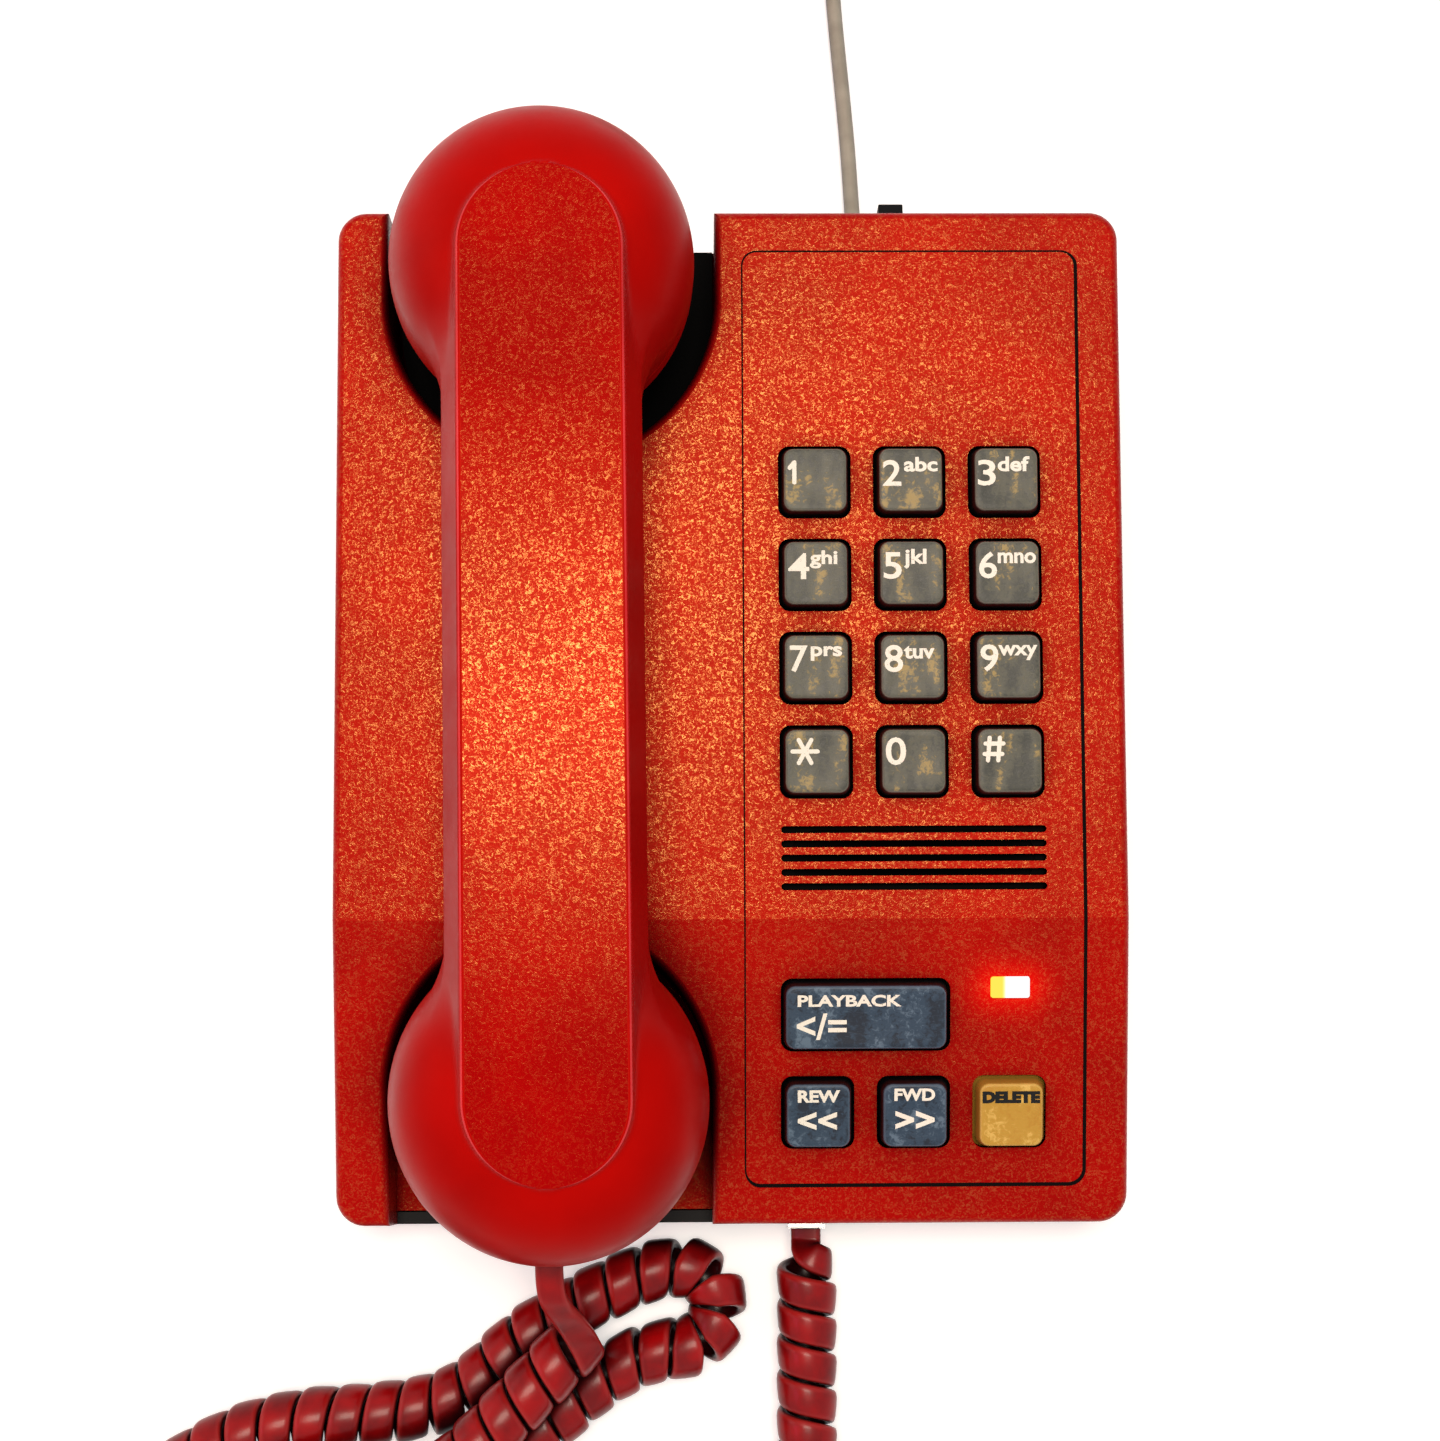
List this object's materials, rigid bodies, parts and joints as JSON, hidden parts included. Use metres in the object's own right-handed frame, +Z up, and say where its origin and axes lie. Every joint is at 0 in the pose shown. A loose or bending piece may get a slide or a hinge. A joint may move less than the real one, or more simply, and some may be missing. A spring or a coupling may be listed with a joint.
{
  "type": "desk telephone with answering machine",
  "caption": "Wedge-shaped red desk telephone with a built-in answering machine, a lift-off handset in two cups, push keys and two cords.",
  "frame": {"origin": "centre of the telephone's box, without its cords, on the surface that it stands on", "axes": "+Z up, +Y towards the back where the line cord leaves, +X towards the keypad's side"},
  "size_m": [0.208, 0.4633, 0.1039],
  "materials": {
    "red_case": "moulded, fine spark grain",
    "red_panel": "moulded, fine spark grain",
    "red_handset": "moulded, satin sides, grained band",
    "black_case": "moulded, satin",
    "number_key": "moulded, printed legends",
    "dark_key": "moulded, printed legends",
    "ochre_key": "moulded, printed legend",
    "lamp_lens": "clear, lit red",
    "key_rubber": "moulded silicone",
    "circuit_board": "solder mask",
    "paper_cone": "pressed paper",
    "magnet": "plated",
    "black_knob": "moulded, satin",
    "chip_black": "moulded epoxy",
    "can_aluminium": "drawn can",
    "foot_rubber": "moulded",
    "screw_steel": "zinc plated",
    "clear_plug": "clear, moulded",
    "red_cord": "extruded, satin",
    "grey_cord": "extruded, satin"
  },
  "bodies": {
    "root": {"lower_case": "black_case", "upper_case": "red_case", "face_panel": "red_panel", "led_lens": "lamp_lens", "led": "lamp_lens", "number_key_mat": "key_rubber", "function_key_mat": "key_rubber", "number_key_board": "circuit_board", "function_key_board": "circuit_board", "main_board": "circuit_board", "ribbon_cable": "grey_cord", "speaker_frame": "black_case", "speaker_cone": "paper_cone", "speaker_magnet": "magnet", "line_cord_grommet": "grey_cord", "handset_socket": "black_case", "ringer_switch": "black_case", "hook_switch": "black_case", "chips": "chip_black", "capacitors": "can_aluminium", "line_transformer": "magnet", "rubber_feet": "foot_rubber", "case_screws": "screw_steel", "board_screws": "screw_steel", "ear_cradle_pad": "black_case", "handset_cord_plug": "clear_plug", "handset_cord_coil": "red_cord", "handset_cord_tail": "red_cord", "line_cord": "grey_cord", "line_cord_coil": "grey_cord", "line_cord_tie": "black_knob", "line_cord_plug": "clear_plug"},
    "handset": {"handset_outer_shell": "red_handset", "handset_inner_shell": "red_handset", "ear_cap": "red_handset", "mouth_cap": "red_handset", "receiver_capsule": "can_aluminium", "microphone_capsule": "foot_rubber", "handset_weight": "screw_steel", "handset_screws": "screw_steel", "handset_end_plug": "clear_plug"},
    "hook": {"hook_plunger": "black_knob"},
    "ringer": {"ringer_knob": "black_knob"},
    "key_1": {"key_1": "number_key"},
    "key_2": {"key_2": "number_key"},
    "key_3": {"key_3": "number_key"},
    "key_4": {"key_4": "number_key"},
    "key_5": {"key_5": "number_key"},
    "key_6": {"key_6": "number_key"},
    "key_7": {"key_7": "number_key"},
    "key_8": {"key_8": "number_key"},
    "key_9": {"key_9": "number_key"},
    "key_star": {"key_star": "number_key"},
    "key_0": {"key_0": "number_key"},
    "key_hash": {"key_hash": "number_key"},
    "playback_key": {"playback_key": "dark_key"},
    "rewind_key": {"rewind_key": "dark_key"},
    "forward_key": {"forward_key": "dark_key"},
    "delete_key": {"delete_key": "ochre_key"}
  },
  "joints": [
    {"name": "handset_lift", "type": "slide", "parent": "root", "child": "handset", "axis": [0, 0, 1], "range_m": [0, 0.07], "deforming": ["handset_cord_tail"]},
    {"name": "hook_travel", "type": "slide", "parent": "root", "child": "hook", "axis": [0, 0, 1], "range_m": [0, 0.005]},
    {"name": "ringer_slide", "type": "slide", "parent": "root", "child": "ringer", "axis": [1, 0, 0], "range_m": [-0.0025, 0.0025]},
    {"name": "key_1_press", "type": "slide", "parent": "root", "child": "key_1", "axis": [0, 0.1736, -0.9848], "range_m": [0, 0.0015], "stiffness_N_per_m": 300, "springref_m": -0.0012},
    {"name": "key_2_press", "type": "slide", "parent": "root", "child": "key_2", "axis": [0, 0.1736, -0.9848], "range_m": [0, 0.0015], "stiffness_N_per_m": 300, "springref_m": -0.0012},
    {"name": "key_3_press", "type": "slide", "parent": "root", "child": "key_3", "axis": [0, 0.1736, -0.9848], "range_m": [0, 0.0015], "stiffness_N_per_m": 300, "springref_m": -0.0012},
    {"name": "key_4_press", "type": "slide", "parent": "root", "child": "key_4", "axis": [0, 0.1736, -0.9848], "range_m": [0, 0.0015], "stiffness_N_per_m": 300, "springref_m": -0.0012},
    {"name": "key_5_press", "type": "slide", "parent": "root", "child": "key_5", "axis": [0, 0.1736, -0.9848], "range_m": [0, 0.0015], "stiffness_N_per_m": 300, "springref_m": -0.0012},
    {"name": "key_6_press", "type": "slide", "parent": "root", "child": "key_6", "axis": [0, 0.1736, -0.9848], "range_m": [0, 0.0015], "stiffness_N_per_m": 300, "springref_m": -0.0012},
    {"name": "key_7_press", "type": "slide", "parent": "root", "child": "key_7", "axis": [0, 0.1736, -0.9848], "range_m": [0, 0.0015], "stiffness_N_per_m": 300, "springref_m": -0.0012},
    {"name": "key_8_press", "type": "slide", "parent": "root", "child": "key_8", "axis": [0, 0.1736, -0.9848], "range_m": [0, 0.0015], "stiffness_N_per_m": 300, "springref_m": -0.0012},
    {"name": "key_9_press", "type": "slide", "parent": "root", "child": "key_9", "axis": [0, 0.1736, -0.9848], "range_m": [0, 0.0015], "stiffness_N_per_m": 300, "springref_m": -0.0012},
    {"name": "key_star_press", "type": "slide", "parent": "root", "child": "key_star", "axis": [0, 0.1736, -0.9848], "range_m": [0, 0.0015], "stiffness_N_per_m": 300, "springref_m": -0.0012},
    {"name": "key_0_press", "type": "slide", "parent": "root", "child": "key_0", "axis": [0, 0.1736, -0.9848], "range_m": [0, 0.0015], "stiffness_N_per_m": 300, "springref_m": -0.0012},
    {"name": "key_hash_press", "type": "slide", "parent": "root", "child": "key_hash", "axis": [0, 0.1736, -0.9848], "range_m": [0, 0.0015], "stiffness_N_per_m": 300, "springref_m": -0.0012},
    {"name": "playback_key_press", "type": "slide", "parent": "root", "child": "playback_key", "axis": [0, 0.2802, -0.96], "range_m": [0, 0.0015], "stiffness_N_per_m": 300, "springref_m": -0.0012},
    {"name": "rewind_key_press", "type": "slide", "parent": "root", "child": "rewind_key", "axis": [0, 0.2802, -0.96], "range_m": [0, 0.0015], "stiffness_N_per_m": 300, "springref_m": -0.0012},
    {"name": "forward_key_press", "type": "slide", "parent": "root", "child": "forward_key", "axis": [0, 0.2802, -0.96], "range_m": [0, 0.0015], "stiffness_N_per_m": 300, "springref_m": -0.0012},
    {"name": "delete_key_press", "type": "slide", "parent": "root", "child": "delete_key", "axis": [0, 0.2802, -0.96], "range_m": [0, 0.0015], "stiffness_N_per_m": 300, "springref_m": -0.0012}
  ],
  "couplings": [
    {"joint": "hook_travel", "follows": "handset_lift", "ratio": 0.071429}
  ]
}
